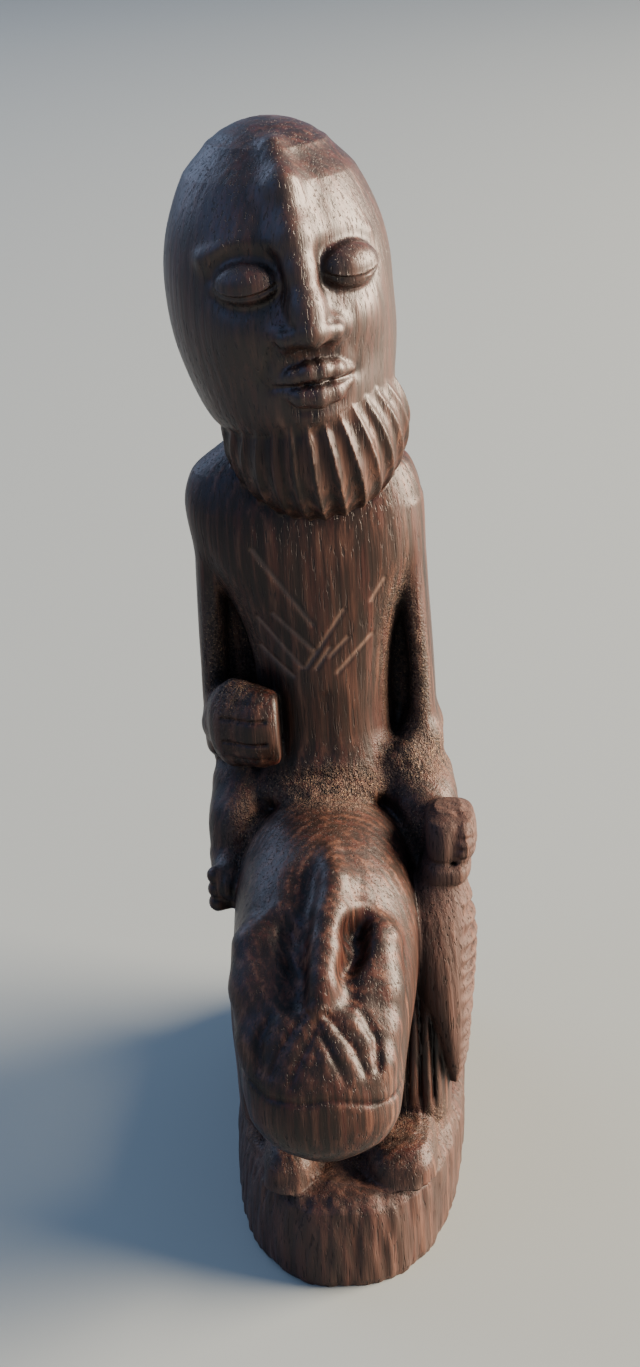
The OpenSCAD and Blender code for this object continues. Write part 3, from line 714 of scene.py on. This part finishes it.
def piece_field(k, p, fine):
    """The piece's own field and the whole carving's. The piece dives under its neighbours at its edges."""
    fields = raw_fields(p)
    whole = carving(p, fields, fine)
    others = np.min(np.delete(fields, k, axis=0), axis=0)
    over = (fields[k] - others) / 2
    return np.maximum(whole + np.maximum(over, 0), over - UNDERLAP), whole


CORNERS = [(x, y, z) for x in (0, 1) for y in (0, 1) for z in (0, 1)]


def at_corner(grid, corner, shape):
    """The grid's values at one corner of each of its cells."""
    return grid[tuple(slice(c, c + n) for c, n in zip(corner, shape))]


def sample_grid(k, lo, shape, spacing):
    """The piece's field on a grid. Only blocks near the surface are worked out in full."""
    block = 4
    coarse_shape = [-(-n // block) + 1 for n in shape]
    axes = [lo[a] + spacing * block * np.arange(coarse_shape[a]) for a in range(3)]
    points = np.stack(np.meshgrid(*axes, indexing="ij"), -1).reshape(-1, 3)
    coarse = piece_field(k, points, False)[0].reshape(coarse_shape)
    near = np.abs(coarse) < 1.05 * spacing * block * math.sqrt(3)
    cells = np.zeros([n - 1 for n in coarse_shape], bool)
    for corner in CORNERS:
        cells |= at_corner(near, corner, cells.shape)
    fill = np.ones((block, block, block), int)
    full = np.kron(cells.astype(int), fill) > 0
    grid = np.kron(np.where(coarse[:-1, :-1, :-1] < 0, -1.0, 1.0), fill)
    grid[full] = piece_field(k, lo + spacing * np.argwhere(full), False)[0]
    return grid


def surface_nets(grid):
    """Quads on the zero surface: one vertex per mixed cell, one quad per crossed edge."""
    inside = grid < 0
    cells = [n - 1 for n in grid.shape]
    count = sum(at_corner(inside, corner, cells).astype(np.int8) for corner in CORNERS)
    cell = np.argwhere((count > 0) & (count < 8))
    total, hits = np.zeros((len(cell), 3)), np.zeros(len(cell))
    for a in map(np.array, CORNERS):
        for axis in range(3):
            if a[axis]:
                continue
            b = a.copy()
            b[axis] = 1
            fa, fb = grid[tuple((cell + a).T)], grid[tuple((cell + b).T)]
            crossed = (fa < 0) != (fb < 0)
            t = np.where(crossed, fa / np.where(crossed, fa - fb, 1), 0)
            total += crossed[:, None] * (a + t[:, None] * (b - a))
            hits += crossed
    vertices = cell + total / hits[:, None]
    index = np.full(count.shape, -1)
    index[tuple(cell.T)] = np.arange(len(cell))
    quads = []
    for axis in range(3):
        u, v = [(1, 2), (0, 2), (0, 1)][axis]
        first = [slice(1, -1)] * 3
        second = list(first)
        first[axis], second[axis] = slice(None, -1), slice(1, None)
        a, b = inside[tuple(first)], inside[tuple(second)]
        at = np.argwhere(a != b)
        outward = a[tuple(at.T)]
        at = at + 1
        at[:, axis] -= 1
        du, dv = np.eye(3, dtype=int)[u], np.eye(3, dtype=int)[v]
        quad = np.stack([index[tuple((at - du - dv).T)], index[tuple((at - dv).T)], index[tuple(at.T)],
                         index[tuple((at - du).T)]], 1)
        flip = outward == (axis == 1)
        quad[flip] = quad[flip][:, ::-1]
        quads.append(quad)
    return vertices, np.concatenate(quads)


SPACING = dict.fromkeys(["base", "beast_body", "right_hind_leg", "left_hind_leg", "tail"], COARSE)
SPACING.update(dict.fromkeys(["rider_torso", "rider_head", "beard", "rider_nose", "rider_right_eye",
                              "rider_left_eye", "rider_lips", "rider_right_hand", "muzzle_ribs"], FINE))
TETRAHEDRON = np.array([[1, -1, -1], [-1, -1, 1], [-1, 1, -1], [1, 1, 1]], float)


def value_and_slope(k, p, step):
    """The piece's field, its slope and the whole carving's slope, from four points round each place."""
    values, slopes, whole_slopes = 0, 0, 0
    for corner in TETRAHEDRON:
        own, whole = piece_field(k, p + step * corner, True)
        values = values + own / 4
        slopes = slopes + own[:, None] * corner / (4 * step)
        whole_slopes = whole_slopes + whole[:, None] * corner / (4 * step)
    return values, slopes, whole_slopes


def unit(v):
    return v / np.maximum(length(v), 1e-9)[:, None]


def carving_off(p, normal, away):
    """How far the carving is from points a little off its surface, as a share of that little."""
    q = p + away * normal
    return carving(q, raw_fields(q), False) / away


def sculpt(name):
    """The piece's vertices and normals in mm, its quads, and the marks its material reads."""
    k = NAMES.index(name)
    form = FORMS[name][0]
    lo = form.lo - MARGIN
    spacing = SPACING.get(name, MEDIUM)
    shape = np.ceil((form.hi + MARGIN - lo) / spacing).astype(int)
    grid = sample_grid(k, lo, shape, spacing)
    # The grid's outer faces count as outside, so that the mesh closes.
    for axis in range(3):
        edge = [slice(None)] * 3
        for end in (0, -1):
            edge[axis] = end
            grid[tuple(edge)] = np.abs(grid[tuple(edge)]) + 0.01
    vertices, quads = surface_nets(grid)
    p = lo + spacing * vertices
    # Two steps downhill bring the vertices onto the finished surface. The normals are the whole carving's
    # where the piece shows, so that the shading runs on from piece to piece.
    for _ in range(2):
        value, slope, _ = value_and_slope(k, p, 0.06)
        step = value / np.maximum(np.einsum("ij,ij->i", slope, slope), 0.2)
        p = p - np.clip(step, -0.25, 0.25)[:, None] * slope
    _, slope, whole_slope = value_and_slope(k, p, 0.05)
    outer = np.abs(piece_field(k, p, True)[1]) < 0.03
    normal = unit(np.where(outer[:, None], whole_slope, slope))
    if name == "base":
        flat = p[:, 2] < 0.05
        p[flat, 2] = 0
    # Painted shade in sheltered hollows, paler ridges for wear and a painted highlight, rough places, and the
    # bare lower wood.
    near, far, inward = 0.9, 2.4, -0.7
    open_near = np.clip(carving_off(p, normal, near), 0, 1)
    open_far = np.clip(carving_off(p, normal, far), 0, 1)
    # Sheltered places get a darker colour: this is painted shade in hollows and creases.
    hollow_shade = 1 - 0.5 * open_near - 0.5 * open_far
    # Open, convex places are painted paler: partly wear, partly a painted highlight.
    ridge = np.clip(1.25 - 0.8 * carving_off(p, normal, inward) - 0.5 * hollow_shade, 0, 1)
    ridge = ridge * np.clip((open_near - 0.7) / 0.25, 0, 1)
    # Knife strokes are paler, from dust in them, and lose their painted shade.
    for (x0, z0), (x1, z1) in STROKES:
        a, along = np.array([x0, z0]), np.array([x1 - x0, z1 - z0])
        offset = p[:, [0, 2]] - a
        h = np.clip(offset @ along / (along @ along), 0, 1)
        pale = np.exp(-((length(offset - h[:, None] * along) / 0.22) ** 2)) * (p[:, 1] < -3.5)
        ridge, hollow_shade = np.maximum(ridge, 2.4 * pale), hollow_shade * (1 - 0.8 * pale)
    # Paler bare wood low down. The strap and the left foot are made paler still: partly bare wood, partly
    # painted light on their lit faces.
    bare_and_lit = 0.6 * np.clip((14 - p[:, 2]) / 5, 0, 1)
    if name in ("scalloped_strap", "rider_left_foot"):
        bare_and_lit = np.maximum(bare_and_lit, 1.2)
    marks = np.stack([hollow_shade, ridge, roughness_at(p), bare_and_lit], 1)
    return p, normal, quads, marks


# ---- Wood ---------------------------------------------------------------------------------------
# Linear colours: the stripes by how pale they are, and then what lies over them.
STRIPES = [(0.50, (0.0016, 0.0007, 0.0007, 1)), (0.60, (0.0045, 0.0017, 0.0014, 1)),
           (0.67, (0.014, 0.0048, 0.0033, 1)), (0.74, (0.036, 0.0135, 0.0085, 1)),
           (0.83, (0.078, 0.036, 0.022, 1))]
RED_STREAK = (0.040, 0.0085, 0.006, 1.0)
# Pale wood for bare places, and partly painted light on the strap and left foot.
BARE_AND_LIT_WOOD = (0.062, 0.033, 0.026, 1.0)
PORE = (0.006, 0.004, 0.004, 1.0)
DUST = (0.105, 0.066, 0.044, 1.0)
# A bright gold painted as glints of light on fibre ends in the rough places.
PAINTED_GLINT = (0.40, 0.27, 0.15, 1.0)
# Near black, painted into sheltered hollows and creases as shade.
PAINTED_SHADE = (0.004, 0.003, 0.003, 1.0)
# Paler colour on ridges: partly wear, partly a painted highlight.
RIDGE_WEAR_AND_HIGHLIGHT = (0.16, 0.105, 0.078, 1.0)


def wood():
    material = bpy.data.materials.new("carved_wood")
    material.use_nodes = True
    nodes, links = material.node_tree.nodes, material.node_tree.links
    nodes.clear()

    def add(kind, **settings):
        node = nodes.new("ShaderNode" + kind)
        for key, value in settings.items():
            setattr(node, key, value)
        return node

    def feed(socket, value):
        if isinstance(value, (int, float, tuple)):
            socket.default_value = value
        else:
            links.new(value, socket)

    def math_node(operation, a, b, clamp=False):
        node = add("Math", operation=operation, use_clamp=clamp)
        feed(node.inputs[0], a)
        feed(node.inputs[1], b)
        return node.outputs[0]

    def times(a, b):
        return math_node("MULTIPLY", a, b)

    def plus(a, b):
        return math_node("ADD", a, b)

    def minus(a, b):
        return math_node("SUBTRACT", a, b)

    def span(value, low, high):
        node = add("MapRange", interpolation_type="SMOOTHSTEP")
        feed(node.inputs["Value"], value)
        feed(node.inputs["From Min"], low)
        feed(node.inputs["From Max"], high)
        return node.outputs["Result"]

    def blend(factor, a, b):
        node = add("Mix", data_type="RGBA")
        feed(node.inputs["Factor"], factor)
        feed(node.inputs["A"], a)
        feed(node.inputs["B"], b)
        return node.outputs["Result"]

    where = add("TexCoord").outputs["Object"]

    def in_mm(scale, offset):
        move = add("Mapping")
        feed(move.inputs["Vector"], where)
        feed(move.inputs["Scale"], tuple(1000.0 * s for s in scale))
        feed(move.inputs["Location"], offset)
        return move.outputs["Vector"]

    def noise(scale, detail=3.0, rough=0.6, offset=(0.0, 0.0, 0.0)):
        node = add("TexNoise")
        feed(node.inputs["Vector"], in_mm(scale, offset))
        feed(node.inputs["Scale"], 1.0)
        feed(node.inputs["Detail"], detail)
        feed(node.inputs["Roughness"], rough)
        return node.outputs["Fac"]

    marks = add("Attribute", attribute_name="marks")
    parts = add("SeparateColor")
    feed(parts.inputs[0], marks.outputs["Color"])
    hollow_shade, ridge, rough_place = parts.outputs
    bare_and_lit = marks.outputs["Alpha"]

    # Growth layers round an upright pith, fibres, and short dark pores.
    layers = add("TexWave", wave_type="RINGS", rings_direction="Z", wave_profile="SIN")
    feed(layers.inputs["Vector"], in_mm((1.0, 1.0, 1.0), (-3.5, 19.0, 0.0)))
    feed(layers.inputs["Scale"], 0.36)
    feed(layers.inputs["Distortion"], 2.6)
    feed(layers.inputs["Detail"], 2.0)
    feed(layers.inputs["Detail Scale"], 0.25)
    fibre = noise((1.15, 1.15, 0.045), 5.0, 0.62)
    fine = noise((3.4, 3.4, 0.10), 3.0, 0.6, (7.0, 3.0, 1.0))
    pores = noise((5.2, 5.2, 0.42), 1.5, 0.5, (1.0, 9.0, 4.0))
    patch = noise((0.16, 0.16, 0.07), 3.0, 0.55, (2.0, 5.0, 8.0))
    speckle = noise((3.6, 3.6, 3.6), 2.0, 0.6)
    grit = noise((6.5, 6.5, 6.5), 1.0, 0.5, (3.0, 1.0, 6.0))

    tone = plus(times(fibre, 0.75), times(fine, 0.35))
    tone = plus(tone, times(layers.outputs["Fac"], 0.10))
    tone = plus(tone, times(patch, 0.12))
    # The stripes are fainter on the polished head.
    place = add("SeparateXYZ")
    feed(place.inputs[0], where)
    polish = span(place.outputs["Z"], 0.0735, 0.0790)
    contrast = times(minus(tone, 0.67), polish)
    tone = minus(tone, times(contrast, 0.5))
    ramp = add("ValToRGB")
    feed(ramp.inputs["Fac"], tone)
    ramp.color_ramp.elements[0].position, ramp.color_ramp.elements[0].color = STRIPES[0]
    ramp.color_ramp.elements[1].position, ramp.color_ramp.elements[1].color = STRIPES[-1]
    for position, colour in STRIPES[1:-1]:
        ramp.color_ramp.elements.new(position).color = colour
    colour = ramp.outputs["Color"]
    red = span(noise((0.95, 0.95, 0.05), 3.0, 0.6, (4.0, 4.0, 2.0)), 0.52, 0.66)
    colour = blend(times(red, 0.55), colour, RED_STREAK)
    # Paler bare wood, which on the strap and left foot is partly painted light.
    colour = blend(times(bare_and_lit, 0.45), colour, BARE_AND_LIT_WOOD)
    pore = span(pores, 0.60, 0.68)
    colour = blend(times(pore, 0.8), colour, PORE)
    # Dust and painted glints in the rough places, painted shade in sheltered ones, wear and a painted
    # highlight on ridges.
    dusty = times(rough_place, span(speckle, 0.42, 0.62))
    colour = blend(times(dusty, 0.6), colour, DUST)
    # Painted glints: bright specks on fibre ends in the rough places stand in for light catching them.
    glint_spots = times(rough_place, span(grit, 0.66, 0.72))
    colour = blend(times(glint_spots, 0.7), colour, PAINTED_GLINT)
    # Painted shade: sheltered hollows and creases are darkened towards near black.
    colour = blend(times(span(hollow_shade, 0.25, 0.9), 0.6), colour, PAINTED_SHADE)
    # Ridges are paler, partly as wear and partly as a painted highlight.
    colour = blend(times(ridge, 0.22), colour, RIDGE_WEAR_AND_HIGHLIGHT)

    gloss = plus(times(fine, 0.22), 0.30)
    dull = math_node("MAXIMUM", rough_place, times(bare_and_lit, 0.7))
    gloss = plus(gloss, times(dull, 0.3))
    gloss = math_node("ADD", gloss, times(pore, 0.2), clamp=True)

    height = plus(times(fine, 0.5), times(pore, -0.5))
    height = plus(height, times(fibre, 0.7))
    height = plus(height, times(layers.outputs["Fac"], 0.12))
    lively = plus(times(bare_and_lit, 1.2), 1.0)
    bump = add("Bump")
    feed(bump.inputs["Height"], times(height, lively))
    feed(bump.inputs["Strength"], 1.0)
    feed(bump.inputs["Distance"], 0.000075)
    stipple = add("Bump")
    feed(stipple.inputs["Height"], times(plus(speckle, grit), rough_place))
    feed(stipple.inputs["Strength"], 1.0)
    feed(stipple.inputs["Distance"], 0.00022)
    feed(stipple.inputs["Normal"], bump.outputs["Normal"])

    shader = add("BsdfPrincipled")
    feed(shader.inputs["Base Color"], colour)
    feed(shader.inputs["Roughness"], gloss)
    feed(shader.inputs["IOR"], 1.5)
    feed(shader.inputs["Specular IOR Level"], plus(times(polish, 0.21), 0.26))
    feed(shader.inputs["Normal"], stipple.outputs["Normal"])
    out = add("OutputMaterial")
    links.new(shader.outputs["BSDF"], out.inputs["Surface"])
    return material


def add_piece(name, material):
    p, normal, quads, marks = sculpt(name)
    mesh = bpy.data.meshes.new("carved_" + name)
    mesh.from_pydata((p * MM).tolist(), [], quads.tolist())
    mesh.polygons.foreach_set("use_smooth", [True] * len(mesh.polygons))
    colour = mesh.color_attributes.new("marks", "FLOAT_COLOR", "POINT")
    colour.data.foreach_set("color", marks.astype(np.float32).ravel())
    mesh.normals_split_custom_set_from_vertices(normal.tolist())
    mesh.materials.append(material)
    piece = bpy.data.objects.new("carved_" + name, mesh)
    bpy.context.collection.objects.link(piece)
    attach(piece, "root")
    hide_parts(name)
    return len(quads)


# ---- Floor and lights ---------------------------------------------------------------------------
def add_floor():
    half = 6
    mesh = bpy.data.meshes.new("floor")
    corners = [(-half, -half, 0), (half, -half, 0), (half, half, 0), (-half, half, 0)]
    mesh.from_pydata(corners, [], [(0, 1, 2, 3)])
    floor = bpy.data.objects.new("floor", mesh)
    bpy.context.collection.objects.link(floor)
    material = bpy.data.materials.new("pale_floor")
    material.use_nodes = True
    shader = material.node_tree.nodes["Principled BSDF"]
    shader.inputs["Base Color"].default_value = (0.225, 0.260, 0.257, 1)
    shader.inputs["Roughness"].default_value = 0.75
    mesh.materials.append(material)


def add_light(name, place, aim, size, power, colour):
    data = bpy.data.lights.new(name, "AREA")
    data.shape, data.size, data.energy, data.color = "DISK", size, power, colour
    light = bpy.data.objects.new(name, data)
    back = np.array(place, float) - np.array(aim, float)
    light.matrix_world = Matrix.Translation(place) @ facing(back).to_4x4()
    bpy.context.collection.objects.link(light)


def facing(back):
    """Axes whose Z points along back, with X level."""
    z = back / np.linalg.norm(back)
    x = np.cross([0, 0, 1], z)
    x = x / np.linalg.norm(x)
    y = np.cross(z, x)
    return Matrix([[x[k], y[k], z[k]] for k in range(3)])


def add_studio():
    world = bpy.data.worlds.new("studio")
    world.use_nodes = True
    background = world.node_tree.nodes["Background"]
    background.inputs["Color"].default_value = (0.52, 0.68, 1.0, 1)
    background.inputs["Strength"].default_value = 0.60
    bpy.context.scene.world = world
    add_light("key", (1.25, 0.08, 0.40), (0, 0, 0.06), 1.1, 180, (1.0, 0.79, 0.60))
    add_light("sky", (-1.0, 0.75, 0.80), (-0.08, -0.04, 0), 1.1, 8, (0.55, 0.68, 1.0))
    add_light("fill", (-1.0, -0.5, 0.7), (0, 0, 0.06), 0.9, 2.5, (0.25, 0.42, 1.0))


add_camera()
add_floor()
add_studio()
carved_wood = wood()
total = sum(add_piece(name, carved_wood) for name in NAMES)
print("quads:", total)
